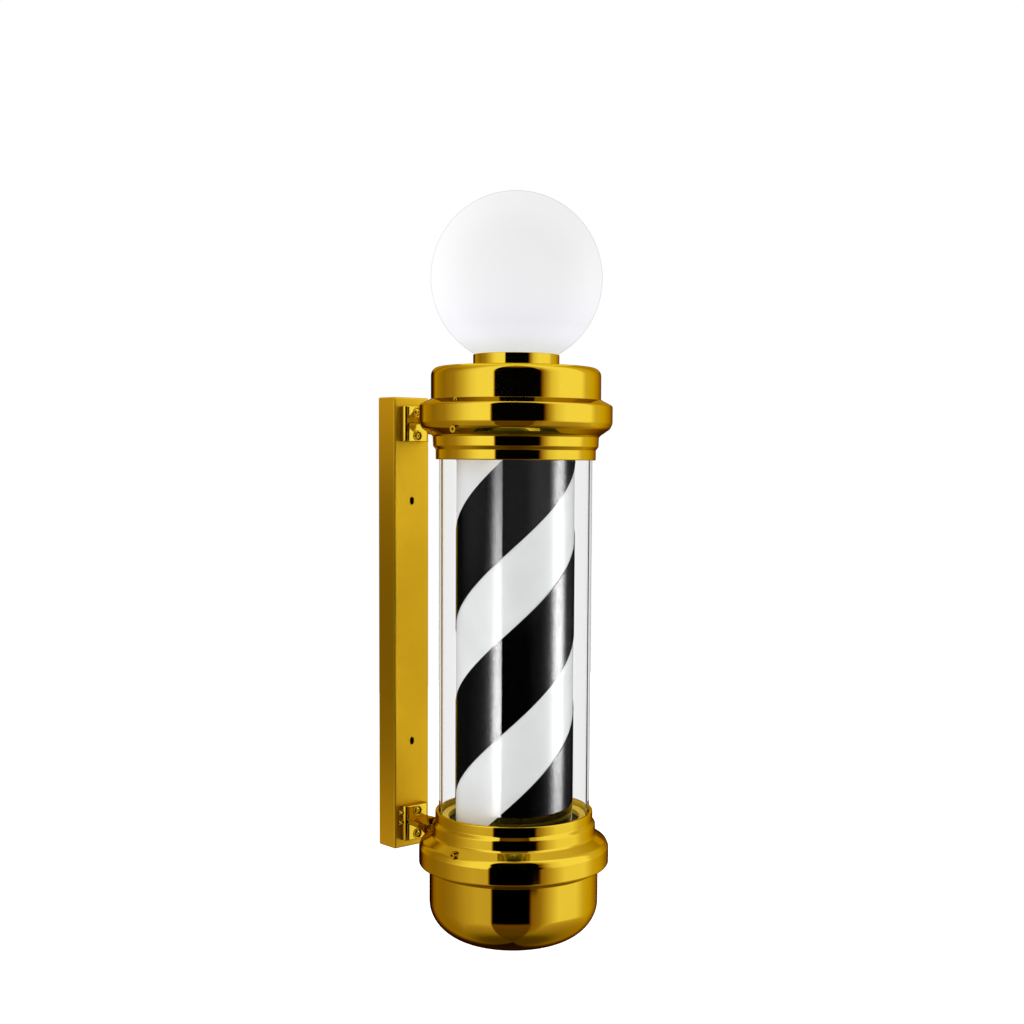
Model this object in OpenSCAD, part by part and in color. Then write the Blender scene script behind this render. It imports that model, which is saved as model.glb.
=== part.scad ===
// Wall-mounted barber pole with a turning striped drum and a globe lamp.
// Origin: on the wall plane, midway between the two wall screw slots.
// +Y points into the wall, +Z points up, and all sizes are in millimetres.

/* [Pole] */
// Distance from the front of the wall channel to the pole axis
axis_gap = 201; // [190:1:240]
// Length of clear tube that shows between the two rings
tube_show = 416; // [300:1:600]
// Outer radius of the clear tube
tube_r = 90; // [89:0.5:90]
// Wall of the clear tube
tube_wall = 4; // [2:0.5:5]
// Radial clearance between the tube and a ring
tube_clear = 0.3; // [0.2:0.1:0.5]

/* [Rings] */
// How far the first step stands out from the tube
neck_out = 4; // [3.5:0.5:5]
// Length of the first step
neck_len = 11.5; // [8:0.5:13]
// How far the second step stands out from the tube
step_out = 7.5; // [6.5:0.5:8.5]
// Where the second step starts, from the rim
step_from = 16; // [15:0.5:18]
// Length of the second step
step_len = 10.5; // [8:0.5:12]
// How far the wide band stands out from the tube
band_out = 23.3; // [18:0.1:30]
// Where the wide band starts, from the rim
band_from = 42.5; // [41:0.5:46]
// Where the wide band ends, from the rim
band_to = 62; // [60:0.5:63]
// Height of a ring from its rim to the seam
ring_h = 70; // [68:0.5:76]
// How far the seam stands out from the tube
seam_out = 11; // [10.5:0.5:14]
// Depth of the tube end below the rim
tube_seat = 8; // [6:0.5:9]
// Thickness of a tube gasket
gasket_t = 1.5; // [1:0.5:2]
// Thickness of the ledge that carries the tube
ledge_t = 4; // [3:0.5:5]
// How far the ledge reaches in from the tube's outside
ledge_in = 6; // [5:0.5:8]

/* [Covers] */
// How far the top cover stands out from the tube
cover_out = 9.6; // [8.4:0.2:10.4]
// Height of the top cover above the seam
cover_h = 37.5; // [30:0.5:50]
// Radius of the top cover's rounded edge
cover_round = 10; // [6:1:14]
// Sheet thickness of the cover and the bowl
sheet_t = 2.4; // [1.6:0.2:3]
// How far the bottom bowl stands out from the tube
bowl_out = 10.8; // [9.6:0.2:11]
// Straight height of the bowl below the seam
bowl_straight = 39; // [20:1:60]
// Height of the rounded part of the bowl
bowl_round_h = 47; // [35:1:60]
// Width of the rounded part of the bowl
bowl_round_w = 57; // [40:1:70]

/* [Globe] */
// Outer radius of the globe
globe_r = 100; // [75:1:125]
// Wall of the globe
globe_wall = 3; // [2:0.5:4]
// Outer radius of the globe's neck
globe_neck_r = 47.4; // [45:0.2:47.4]
// Outer radius of the collar
collar_r = 50.4; // [50.2:0.2:53]
// Height of the collar
collar_h = 15.7; // [14:0.1:20]

/* [Drum] */
// Outer radius of the white drum
drum_r = 69.5; // [50:0.5:75]
// Wall of the white drum
drum_wall = 2.5; // [1.5:0.5:4]
// Rise of a stripe in one turn
stripe_lead = 407; // [250:1:600]
// Black share of the drum's surface
black_share = 0.547; // [0.3:0.01:0.7]
// Angle of a stripe's front edge at the drum's lower end
stripe_phase = 117; // [0:1:180]
// Radius of the motor shaft
shaft_r = 4; // [3:0.5:5]

/* [Wall bracket] */
// Width of the wall channel
channel_w = 55; // [48:1:70]
// Depth of the wall channel
channel_d = 35; // [30:1:45]
// How far the wall channel runs on past a clamp block
channel_over = 11; // [8:0.5:60]
// Wall of the wall channel
channel_t = 2; // [1.5:0.5:3]
// Corner radius of the wall channel
channel_round = 2.5; // [1:0.5:7]
// How far the channel and its blocks sit below the pole's middle
channel_drop = 3.5; // [0:0.5:6]
// Distance between the two wall screw slots
slot_spacing = 310; // [200:1:360]
// Width of a wall screw slot
slot_w = 6.5; // [5:0.5:8]
// Length of a wall screw slot
slot_len = 10; // [9:0.5:16]
// Width of a clamp block
block_w = 38; // [34:1:44]
// Height of a clamp block
block_h = 45; // [42:1:50]
// Depth of a clamp block
block_d = 12; // [11:0.5:16]

/* [Hidden] */
$fn = 96;
eps = 0.01;
fit = 0.05;
run_fit = 0.05;

// Radii that follow the tube
neck_r = tube_r + neck_out;
step_r = tube_r + step_out;
band_r = tube_r + band_out;
seam_r = tube_r + seam_out;
ledge_r = tube_r - ledge_in;
cover_r = tube_r + cover_out;
bowl_r = tube_r + bowl_out;

// Heights along the pole, counted from the rim of a ring outwards
pole_y = -(channel_d + axis_gap);
rim_z = tube_show / 2;
gasket_at = tube_seat;
ledge_at = gasket_at + gasket_t;
deck_at = ledge_at + ledge_t;
deck_t = 2.5;
deck_rim = 24;
deck_wall = 2.6;
deck_r = tube_r + 1.4;
deck_back = deck_at + deck_t;
bore_r = deck_r + 0.1;
ring_wall = 6;
band_round = 8;
lip_round = 4;
shoulder_turn = 55;
lip_turn = 63;
drum_end = deck_at - 1.5;
drum_len = tube_show + 2 * drum_end;

// Where the pieces above the seam stand
seam_z = rim_z + ring_h;
cover_top = seam_z + cover_h;
mouth_r = cover_r - sheet_t;
foot_t = 3;
foot_r = 41;
globe_pad_t = 2;
collar_wall = 2.4;
collar_in_r = collar_r - collar_wall;
collar_screw_at = (foot_r + collar_in_r) / 2 + 0.5;
globe_rest = sqrt(globe_r * globe_r - collar_r * collar_r);
globe_gap = 0.8;
globe_z = cover_top + collar_h + globe_gap + globe_rest;
neck_foot = cover_top + foot_t + globe_pad_t;

// Inner edge of the cover and of the bowl, where they enter a ring
spigot_wall = 2.2;
spigot_len = 8;

// Screws
m4_r = 2;
m5_r = 2.5;
hole_clear = 0.1;
head_r = 3.5;
head_h = 2.4;

// The ring screws sit at the sides of the pole, turned a little to the front
clamp_at = 34;
clamp_head_r = 4;
clamp_head_len = 8.5;
clamp_sink = 9;
clamp_seat = band_r - clamp_sink;
cover_screw_at = ring_h - 3;
cover_head_r = 2.6;
cover_head_len = 3;
cover_screw_seat = seam_r + 4.5;
side_angles = [-10, 190];
rear_angles = [50, 130];
globe_screw_angles = [9, 89];
thirds = [90, 210, 330];

// Arm and clamp block
arm_tip = axis_gap - block_d;
arm_root_w = 52;
arm_tip_w = 17;
arm_low = 52;
arm_root_t = 14;
arm_tip_t = 7;
tongue_w = 10;
tongue_len = 8;
tongue_clear = 0.2;
tongue_mid = arm_low - arm_tip_t / 2;
tongue_off = 0.5;
block_z = rim_z + tongue_mid - tongue_off;
block_rim = 3;
block_recess = 2;
block_screw_z = 15;
block_head_r = 4;
block_head_h = 2.6;
block_screw_over = 3;
pin_x = 6.5;
pin_r = 1.5;
pin_depth = tongue_len * 0.6;
channel_z = -channel_drop;
channel_len = 2 * (block_z + block_h / 2 + channel_over);

// Lamp on top
lamp_deck = rim_z + deck_back;
bridge_leg_x = 58;
bridge_w = 22;
bridge_t = 2;
bridge_h = 56;
bridge_screw_x = 68;
bridge_toe = 8;
bridge_top = lamp_deck + bridge_h + bridge_t;
holder_r = 20;
holder_h = 38;
holder_bore = 13.6;
cap_r = 13.4;
cap_depth = 24;
cap_over = 1;
cap_tip_r = 6;
cap_tip_h = 3;
cap_bead = 0.5;
cap_tip_step = 1.4;
cap_plain = 6;
holder_top = bridge_top + holder_h;
lamp_body_h = 38;
lamp_r = 29;
lamp_shoulder = 15;
lamp_wall = 1.5;
holder_screw_r = 5;
holder_nut_t = 5;

// Light inside the drum
sleeve_r = 18;
sleeve_wall = 4;
sleeve_flange_r = 28;
sleeve_flange_t = 3;
sleeve_end = 3;
sleeve_screw_at = 23.3;
holder_plug_h = 11;
hub_t = 6;
hub_hole_r = 10;
hub_r = drum_r - drum_wall - fit;
bush_r = 22;
bar_w = 12;
bar_grip = 9;
bar_top = lamp_deck + sleeve_flange_t + bar_grip;
bar_rise = 18;
bar_low = rim_z - bar_rise;
strip_w = 8;
strip_t = 1.2;
bar_pin_r = 2;
bar_pin_len = 40;
bar_pin_drop = 3.9;
strip_drop = 8;
strip_top = rim_z - strip_drop;
strip_short = 6;

// Motor below
motor_r = 27;
motor_h = 36;
motor_boss_r = 10;
ear_len = 76;
ear_w = 16;
ear_t = 2;
ear_screw_x = 33;
washer_t = 2;
washer_gap = 0.3;
shaft_end = 1;
shaft_depth = 18;
hub_boss_r = 12;
hub_boss_t = 12;
set_screw_r = 2;

// Boxes on the decks
box_y = 36;
box_d = 24;
box_h = 24;
driver_len = 70;
terminal_len = 50;
box_tab = 8;
box_tab_t = 2;
box_screw_in = 4;

// Stripe film
film_gap = 0.3;
film_t = 0.5;
film_step = 9;
film_short = 0.5;

// Cable inlet and the lead inside the channel
plug_t = 3;
plug_skirt = 10;
cap_edge = 1.5;
cap_fit = 0.1;
cap_skirt_t = 1.6;
inlet_r = 6.5;
inlet_bore = 4;
inlet_flange_r = 9;
inlet_flange_t = 1.5;
lead_r = 1.8;
lead_hole_r = 2.2;
lead_bend = 8;
lead_front = 13;
lead_turn_y = lead_front - channel_d;

// Colours
gold = [0.85, 0.66, 0.15];
steel = [0.75, 0.75, 0.77];
black = [0.1, 0.1, 0.1];
white = [0.95, 0.95, 0.93];

// Points on a round corner in the half plane (radius, height)
function arc(cx, cy, rx, ry, a0, a1, n) =
    [for (i = [0 : n]) [cx + rx * cos(a0 + (a1 - a0) * i / n), cy + ry * sin(a0 + (a1 - a0) * i / n)]];

// Places a piece at the top end of the pole, with height counted from the rim outwards
module upper_end() {
    translate([0, pole_y, rim_z]) children();
}

// The same at the bottom end, mirrored
module lower_end() {
    translate([0, pole_y, 0]) mirror([0, 0, 1]) translate([0, 0, rim_z]) children();
}

// A copy at each of the given angles about the pole axis
module around(angles) {
    for (a = angles) rotate([0, 0, a]) children();
}

// A cylinder that points outwards from the axis, from radius r0 to r1 at height h
module spoke(h, r0, r1, r) {
    translate([r0, 0, h]) rotate([0, 90, 0]) cylinder(h = r1 - r0, r = r);
}

// A screw along Z: its head sits on height 0 and points up, its shank goes down
module screw(head_r, head_h, r, len) {
    difference() {
        cylinder(h = head_h, r = head_r);
        translate([0, 0, head_h * 0.45]) cylinder(h = head_h, r = head_r * 0.5, $fn = 6);
    }
    translate([0, 0, -len]) cylinder(h = len + eps, r = r);
}

// A screw that points outwards from the axis, with its head seat at radius seat
module radial_screw(h, seat, head_r, head_h, r, len) {
    translate([seat, 0, h]) rotate([0, 90, 0]) screw(head_r, head_h, r, len);
}

// Outline of a ring: stepped neck, sloped shoulder, wide band, sloped top, then the inside
function ring_outline() = concat(
    [[neck_r - 1, 0], [neck_r, 1], [neck_r, neck_len]],
    [[step_r - 0.6, step_from], [step_r, step_from + 1], [step_r, step_from + step_len]],
    [[step_r + 1, step_from + step_len + 1.4]],
    arc(band_r - band_round, band_from, band_round, band_round, -shoulder_turn, 0, 8),
    arc(band_r - lip_round, band_to - 1, lip_round, lip_round, 0, lip_turn, 5),
    [[seam_r, ring_h - 0.4], [seam_r, ring_h], [mouth_r + 0.3, ring_h]],
    [[mouth_r + 0.3, band_to - 1], [band_r - ring_wall, band_to - 4]],
    [[band_r - ring_wall, band_from + 2]],
    [[bore_r, deck_at + deck_rim + 3], [bore_r, deck_at], [ledge_r, deck_at], [ledge_r, ledge_at]],
    [[tube_r + tube_clear, ledge_at], [tube_r + tube_clear, 0]]);

// The arm seen from above, as half a width at each distance from the axis
module arm_plan() {
    polygon([[-arm_root_w, bore_r], [arm_root_w, bore_r], [arm_tip_w, arm_tip], [tongue_w, arm_tip],
             [tongue_w, arm_tip + tongue_len], [-tongue_w, arm_tip + tongue_len],
             [-tongue_w, arm_tip], [-arm_tip_w, arm_tip]]);
}

// The arm seen from the side: thick at the ring, thin at the block
module arm_side() {
    polygon([[bore_r, arm_low - arm_root_t], [arm_tip, arm_low - arm_tip_t],
             [arm_tip + tongue_len, arm_low - arm_tip_t], [arm_tip + tongue_len, arm_low],
             [bore_r, arm_low]]);
}

module arm() {
    difference() {
        intersection() {
            linear_extrude(height = ring_h) arm_plan();
            translate([-arm_root_w - 1, 0, 0]) rotate([90, 0, 90])
                linear_extrude(height = 2 * arm_root_w + 2) arm_side();
        }
        cylinder(h = ring_h, r = band_r - 4);
    }
}

// Ring casting with its arm, written for the top end
module ring_body(cover_angles) {
    difference() {
        union() {
            rotate_extrude() polygon(ring_outline());
            arm();
        }
        around(side_angles) spoke(clamp_at, bore_r - 5, band_r + 5, m5_r + hole_clear);
        around(side_angles) spoke(clamp_at, clamp_seat, band_r + 5, clamp_head_r + 0.3);
        around(cover_angles) spoke(cover_screw_at, mouth_r - 5, band_r + 5, m4_r + hole_clear);
        around(cover_angles) spoke(cover_screw_at, cover_screw_seat, band_r + 5, cover_head_r + 0.2);
        for (x = [-pin_x, pin_x])
            translate([x, arm_tip + pin_depth, 0]) cylinder(h = ring_h, r = pin_r + hole_clear);
        translate([0, bore_r, tongue_mid]) rotate([-90, 0, 0])
            cylinder(h = arm_tip, r = lead_hole_r);
    }
}

module upper_ring() {
    color(gold) upper_end() ring_body(side_angles);
}

module lower_ring() {
    color(gold) lower_end() ring_body(rear_angles);
}

module ring_clamp_screws() {
    around(side_angles)
        radial_screw(clamp_at, clamp_seat, clamp_head_r, clamp_head_len, m5_r, clamp_seat - deck_r + 4);
}

module clamp_screws() {
    color(gold) {
        upper_end() ring_clamp_screws();
        lower_end() ring_clamp_screws();
    }
}

// Rectangular tube on the wall, with a slot for each wall screw through both of its faces
module channel_plan(grow) {
    r = max(channel_round - grow, 0.2);
    w = channel_w / 2 - grow;
    d = channel_d - 2 * grow;
    translate([0, -grow]) union() {
        translate([-w + r, -d]) square([2 * w - 2 * r, d]);
        translate([-w, -d + r]) square([2 * w, d - 2 * r]);
        for (x = [-w + r, w - r], y = [-d + r, -r]) translate([x, y]) circle(r = r);
    }
}

module wall_slot() {
    rotate([90, 0, 0]) union() {
        translate([-slot_w / 2, -(slot_len - slot_w) / 2, -1])
            cube([slot_w, slot_len - slot_w, channel_d + 2]);
        for (z = [-1, 1])
            translate([0, z * (slot_len - slot_w) / 2, -1]) cylinder(h = channel_d + 2, d = slot_w);
    }
}

module wall_channel() {
    tube_len = channel_len - 2 * plug_t;
    color(gold) difference() {
        translate([0, 0, channel_z - tube_len / 2]) linear_extrude(height = tube_len)
            difference() {
                channel_plan(0);
                channel_plan(channel_t);
            }
        for (z = [-1, 1]) translate([0, 0, z * slot_spacing / 2]) wall_slot();
        for (z = [-1, 1]) block_drill(z, m4_r + hole_clear);
        for (z = [-1, 1])
            translate([0, -channel_d - 1, z * (rim_z + tongue_mid)]) rotate([-90, 0, 0])
                cylinder(h = channel_t + 2, r = lead_hole_r);
    }
}

// Holes for the screws of one clamp block
module block_drill(side, r) {
    for (z = [-block_screw_z, block_screw_z])
        translate([0, -channel_d - block_d - 1, side * block_z + channel_z + z]) rotate([-90, 0, 0])
            cylinder(h = block_d + channel_t + 2, r = r);
}

// Clamp block: a slot takes the arm's tongue, a shallow recess takes the screw heads
module clamp_block(side) {
    z0 = side * block_z + channel_z;
    tongue_z = side * (rim_z + tongue_mid);
    slot_h = arm_tip_t + 2 * tongue_clear;
    slot_hw = tongue_w + tongue_clear;
    front = -channel_d - block_d;
    difference() {
        translate([-block_w / 2, front, z0 - block_h / 2]) cube([block_w, block_d, block_h]);
        translate([-block_w / 2 + block_rim, front - 1, z0 - block_h / 2 + block_rim])
            cube([block_w - 2 * block_rim, block_recess + 1, block_h - 2 * block_rim]);
        translate([-slot_hw, front - 1, tongue_z - slot_h / 2])
            cube([2 * slot_hw, tongue_len + tongue_clear + 1, slot_h]);
        for (x = [-pin_x, pin_x])
            translate([x, front + pin_depth, z0 - block_h])
                cylinder(h = 2 * block_h, r = pin_r + hole_clear);
        translate([0, front, tongue_z]) rotate([-90, 0, 0]) cylinder(h = block_d + 1, r = lead_hole_r);
        block_drill(side, m4_r + hole_clear);
    }
}

module upper_block() {
    color(gold) clamp_block(1);
}

module lower_block() {
    color(gold) clamp_block(-1);
}

module block_screws() {
    color(gold) for (side = [-1, 1], z = [-block_screw_z, block_screw_z])
        translate([0, -channel_d - block_d + block_recess, side * block_z + channel_z + z])
            rotate([90, 0, 0]) screw(block_head_r, block_head_h, m4_r,
                                     block_d - block_recess + channel_t + block_screw_over);
}

module arm_pins() {
    color(steel) for (side = [-1, 1], x = [-pin_x, pin_x])
        translate([x, -channel_d - block_d + pin_depth, side * block_z + channel_z - block_h / 2 + 0.5])
            cylinder(h = block_h - 1, r = pin_r);
}

// Cap that closes one end of the channel: a plate with a softened edge and a skirt that goes
// into the channel, written for the top end
module channel_plug(hole) {
    difference() {
        union() {
            translate([0, 0, -plug_t]) hull() {
                linear_extrude(height = plug_t / 3) channel_plan(0, $fn = 32);
                linear_extrude(height = plug_t * 0.75) channel_plan(cap_edge / 3, $fn = 32);
                linear_extrude(height = plug_t) channel_plan(cap_edge, $fn = 32);
            }
            translate([0, 0, -plug_skirt]) linear_extrude(height = plug_skirt - plug_t / 2)
                channel_plan(channel_t + cap_fit, $fn = 32);
        }
        translate([0, 0, -plug_skirt - 1]) linear_extrude(height = plug_skirt - plug_t + 1)
            channel_plan(channel_t + cap_skirt_t, $fn = 32);
        if (hole > 0)
            translate([0, -channel_d / 2, -plug_skirt]) cylinder(h = plug_skirt + 1, r = hole);
    }
}

module channel_plug_top() {
    color(gold) translate([0, 0, channel_z + channel_len / 2]) channel_plug(0);
}

module channel_plug_bottom() {
    color(gold) translate([0, 0, channel_z - channel_len / 2]) mirror([0, 0, 1])
        channel_plug(inlet_r);
}

module inlet_grommet() {
    f = inlet_flange_r;
    t = inlet_flange_t;
    r = inlet_r - fit;
    color(black) translate([0, -channel_d / 2, channel_z - channel_len / 2]) rotate_extrude()
        polygon([[inlet_bore, -t], [f, -t], [f, 0], [r, 0], [r, plug_t], [f, plug_t],
                 [f, plug_t + t], [inlet_bore, plug_t + t]]);
}

// A deck is a black plate with a raised rim that the ring screws hold
module deck(hole) {
    difference() {
        rotate_extrude() polygon([[hole, deck_at], [deck_r, deck_at], [deck_r, deck_at + deck_rim],
            [deck_r - deck_wall, deck_at + deck_rim], [deck_r - deck_wall, deck_back], [hole, deck_back]]);
        around(side_angles) spoke(clamp_at, deck_r - 2 * deck_wall, deck_r + 1, m5_r + hole_clear);
        children();
    }
}

// Drills a deck for a screw at the given place
module deck_drill(x, y) {
    translate([x, y, deck_at - 1]) cylinder(h = deck_t + 2, r = m4_r + hole_clear);
}

// A deck screw whose head sits on a foot of thickness t
module deck_screw(x, y, t) {
    translate([x, y, deck_back + t]) screw(head_r, head_h, m4_r, t + deck_t - 0.2);
}

module upper_deck() {
    color(black) upper_end() deck(sleeve_r + hole_clear) {
        around(thirds) deck_drill(sleeve_screw_at, 0);
        for (x = [-bridge_screw_x, bridge_screw_x]) deck_drill(x, 0);
        for (x = [-1, 1]) deck_drill(x * box_screw_x(driver_len), box_y + box_d / 2);
    }
}

module lower_deck() {
    color(black) lower_end() deck(motor_boss_r + hole_clear) {
        for (x = [-ear_screw_x, ear_screw_x]) deck_drill(x, 0);
        for (x = [-1, 1]) deck_drill(x * box_screw_x(terminal_len), box_y + box_d / 2);
    }
}

// Soft ring between the end of the tube and the ledge of a ring casting
module tube_gasket() {
    translate([0, 0, gasket_at]) difference() {
        cylinder(h = gasket_t, r = tube_r + tube_clear / 2);
        translate([0, 0, -1]) cylinder(h = gasket_t + 2, r = tube_r - tube_wall);
    }
}

module upper_gasket() {
    color(black) upper_end() tube_gasket();
}

module lower_gasket() {
    color(black) lower_end() tube_gasket();
}

module outer_tube() {
    color([0.8, 0.87, 0.9, 0.3]) translate([0, pole_y, 0]) difference() {
        translate([0, 0, -rim_z - tube_seat]) cylinder(h = tube_show + 2 * tube_seat, r = tube_r);
        translate([0, 0, -rim_z - tube_seat - 1])
            cylinder(h = tube_show + 2 * tube_seat + 2, r = tube_r - tube_wall);
    }
}

// Inside edge of a sheet part where it enters the mouth of a ring
function spigot_outline() = [[mouth_r - spigot_wall, ring_h + foot_t],
    [mouth_r - spigot_wall, ring_h - spigot_len], [mouth_r, ring_h - spigot_len], [mouth_r, ring_h]];

module spigot_drill(angles) {
    around(angles) spoke(cover_screw_at, mouth_r - 5, mouth_r + 5, m4_r + hole_clear);
}

// Flat-topped cover with an opening for the lamp
module top_cover() {
    top = ring_h + cover_h;
    in_r = cover_r - sheet_t;
    color(gold) upper_end() difference() {
        rotate_extrude() polygon(concat(
            [[cover_r, ring_h]],
            arc(cover_r - cover_round, top - cover_round, cover_round, cover_round, 0, 90, 8),
            [[foot_r - 1, top], [foot_r - 1, top - sheet_t]],
            arc(cover_r - cover_round, top - cover_round, cover_round - sheet_t,
                cover_round - sheet_t, 90, 0, 8),
            [[in_r, ring_h + foot_t]], spigot_outline()));
        spigot_drill(side_angles);
        around(thirds) translate([collar_screw_at, 0, top - sheet_t - 1])
            cylinder(h = sheet_t + 2, r = m4_r + hole_clear);
    }
}

// Screws through the side of a ring into the cover or the bowl
module spigot_screws(angles) {
    around(angles) radial_screw(cover_screw_at, cover_screw_seat, cover_head_r, cover_head_len,
                                m4_r, cover_screw_seat - mouth_r + spigot_wall + 1);
}

module cover_screws() {
    color(gold) upper_end() spigot_screws(side_angles);
}

// Bowl with a rounded bottom, written for the top end like the rings
module bottom_bowl() {
    bend = ring_h + bowl_straight;
    flat = bowl_r - bowl_round_w;
    color(gold) lower_end() difference() {
        rotate_extrude() polygon(concat(
            [[bowl_r, ring_h]],
            arc(flat, bend, bowl_round_w, bowl_round_h, 0, 90, 16),
            [[0, bend + bowl_round_h], [0, bend + bowl_round_h - sheet_t]],
            arc(flat, bend, bowl_round_w - sheet_t, bowl_round_h - sheet_t, 90, 0, 16),
            [[bowl_r - sheet_t, ring_h + foot_t]], spigot_outline()));
        spigot_drill(rear_angles);
    }
}

module bowl_screws() {
    color(gold) lower_end() spigot_screws(rear_angles);
}

// Places a piece on top of the cover
module on_cover() {
    translate([0, pole_y, cover_top]) children();
}

module globe_collar() {
    color(gold) on_cover() difference() {
        rotate_extrude() polygon([[foot_r, 0], [collar_r, 0], [collar_r, collar_h],
            [collar_in_r, collar_h - collar_wall * 0.8], [collar_in_r, foot_t], [foot_r, foot_t]]);
        around(thirds) translate([collar_screw_at, 0, -1])
            cylinder(h = foot_t + 2, r = m4_r + hole_clear);
        around(globe_screw_angles) spoke(collar_h * 0.6, foot_r, collar_r + 1, m4_r + hole_clear);
    }
}

module collar_screws() {
    color(steel) on_cover() around(thirds) translate([collar_screw_at, 0, -sheet_t])
        mirror([0, 0, 1]) screw(head_r, head_h, m4_r, sheet_t + foot_t - 0.3);
}

module globe_gasket() {
    color(black) on_cover() translate([0, 0, foot_t]) difference() {
        cylinder(h = globe_pad_t, r = collar_in_r - 0.2);
        translate([0, 0, -1]) cylinder(h = globe_pad_t + 2, r = globe_neck_r - globe_wall - 0.4);
    }
}

module globe() {
    neck_h = globe_z - neck_foot;
    color(white) translate([0, pole_y, 0]) difference() {
        union() {
            translate([0, 0, globe_z]) sphere(r = globe_r);
            translate([0, 0, neck_foot]) cylinder(h = neck_h - globe_r / 2, r = globe_neck_r);
        }
        translate([0, 0, globe_z]) sphere(r = globe_r - globe_wall);
        translate([0, 0, globe_z - globe_r - 1])
            cylinder(h = globe_r / 2 + 1, r = globe_neck_r - globe_wall);
    }
}

// Headless screws that press on the neck of the globe
module globe_screws() {
    color(steel) on_cover() around(globe_screw_angles)
        spoke(collar_h * 0.6, globe_neck_r, collar_r + 0.4, m4_r);
}

// Strap that carries the lamp holder above the deck
module lamp_bridge() {
    foot_x = bridge_screw_x + bridge_toe;
    color(steel) translate([0, pole_y, lamp_deck]) difference() {
        for (s = [-1, 1]) mirror([(1 - s) / 2, 0, 0]) union() {
            translate([bridge_leg_x, -bridge_w / 2, 0])
                cube([foot_x - bridge_leg_x, bridge_w, bridge_t]);
            translate([bridge_leg_x, -bridge_w / 2, 0])
                cube([bridge_t, bridge_w, bridge_h + bridge_t]);
            translate([0, -bridge_w / 2, bridge_h])
                cube([bridge_leg_x + bridge_t, bridge_w, bridge_t]);
        }
        translate([0, 0, bridge_h - 1]) cylinder(h = bridge_t + 2, r = holder_screw_r + hole_clear);
        for (x = [-bridge_screw_x, bridge_screw_x])
            translate([x, 0, -1]) cylinder(h = bridge_t + 2, r = m4_r + hole_clear);
    }
}

module bridge_screws() {
    color(steel) upper_end()
        for (x = [-bridge_screw_x, bridge_screw_x]) deck_screw(x, 0, bridge_t);
}

// Lamp socket: a cup with a threaded stem and a nut under the bridge
module lamp_holder() {
    floor_h = holder_h - cap_depth - 1;
    color(white) translate([0, pole_y, bridge_top]) union() {
        difference() {
            cylinder(h = holder_h, r = holder_r);
            translate([0, 0, floor_h]) cylinder(h = holder_h, r = holder_bore);
            translate([0, 0, holder_h - 2])
                cylinder(h = 3, r1 = holder_bore, r2 = holder_bore + 3);
        }
        translate([0, 0, -bridge_t - holder_nut_t]) cylinder(h = bridge_t + holder_nut_t, r = holder_screw_r);
        translate([0, 0, -bridge_t - holder_nut_t])
            cylinder(h = holder_nut_t, r = holder_screw_r + 4);
    }
}

// Screw cap of the lamp, with its thread shown as beads
module lamp_cap() {
    cap_h = cap_depth + cap_over;
    beads = 5;
    thread_from = cap_tip_h + cap_bead;
    mean_r = cap_r - cap_bead;
    color(steel) translate([0, pole_y, holder_top - cap_depth]) rotate_extrude() polygon(concat(
        [[0, 0], [cap_tip_r, 0], [cap_r - cap_tip_step, cap_tip_h]],
        [for (i = [0 : beads - 1], k = [0 : 3])
            [mean_r + cap_bead * sin(k * 90), thread_from + (i + k / 4) * (cap_h - cap_plain) / beads]],
        [[mean_r, cap_h], [0, cap_h]]));
}

// Lamp housing: a cone that widens to the dome
module lamp_body() {
    color(white) translate([0, pole_y, holder_top + 1]) rotate_extrude() polygon(concat(
        [[0, 0], [lamp_shoulder, 0], [lamp_shoulder, 5]],
        [for (i = [1 : 8]) [lamp_shoulder + (lamp_r - lamp_shoulder) * sin(i * 90 / 8),
                            5 + (lamp_body_h - 5) * i / 8]],
        [[0, lamp_body_h]]));
}

module lamp_dome() {
    foot = holder_top + 1 + lamp_body_h;
    rise = lamp_r / 2;
    color(white) translate([0, pole_y, foot]) difference() {
        union() {
            cylinder(h = rise, r = lamp_r);
            translate([0, 0, rise]) intersection() {
                sphere(r = lamp_r);
                cylinder(h = lamp_r + 1, r = lamp_r + 1);
            }
        }
        translate([0, 0, -1]) cylinder(h = rise + 1, r = lamp_r - lamp_wall);
        translate([0, 0, rise]) intersection() {
            sphere(r = lamp_r - lamp_wall);
            translate([0, 0, -eps]) cylinder(h = lamp_r, r = lamp_r);
        }
    }
}

module drum() {
    color(white) translate([0, pole_y, -drum_len / 2]) difference() {
        cylinder(h = drum_len, r = drum_r);
        translate([0, 0, -1]) cylinder(h = drum_len + 2, r = drum_r - drum_wall);
    }
}

// Section of one stripe across the drum
module stripe_plan() {
    r_in = drum_r + film_gap;
    r_out = r_in + film_t;
    sweep = 180 * black_share;
    n = ceil(sweep / film_step);
    polygon(concat(
        [for (i = [0 : n]) [r_out * cos(-sweep * i / n), r_out * sin(-sweep * i / n)]],
        [for (i = [n : -1 : 0]) [r_in * cos(-sweep * i / n), r_in * sin(-sweep * i / n)]]));
}

module stripe_film() {
    h = drum_len - 2 * film_short;
    turn = 360 * h / stripe_lead;
    color(black) translate([0, pole_y, -h / 2]) for (a = [0, 180])
        rotate([0, 0, stripe_phase + a])
            linear_extrude(height = h, twist = -turn, slices = ceil(turn / film_step), $fn = 24)
                stripe_plan();
}

// Place of the hubs, counted from the rim outwards
hub_at = drum_end - hub_t;

module upper_hub() {
    color(steel) upper_end() translate([0, 0, hub_at]) difference() {
        cylinder(h = hub_t, r = hub_r);
        translate([0, 0, -1]) cylinder(h = hub_t + 2, r = bush_r + fit);
        around(thirds) translate([(hub_r + bush_r) / 2, 0, -1]) cylinder(h = hub_t + 2, r = hub_hole_r);
    }
}

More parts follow.
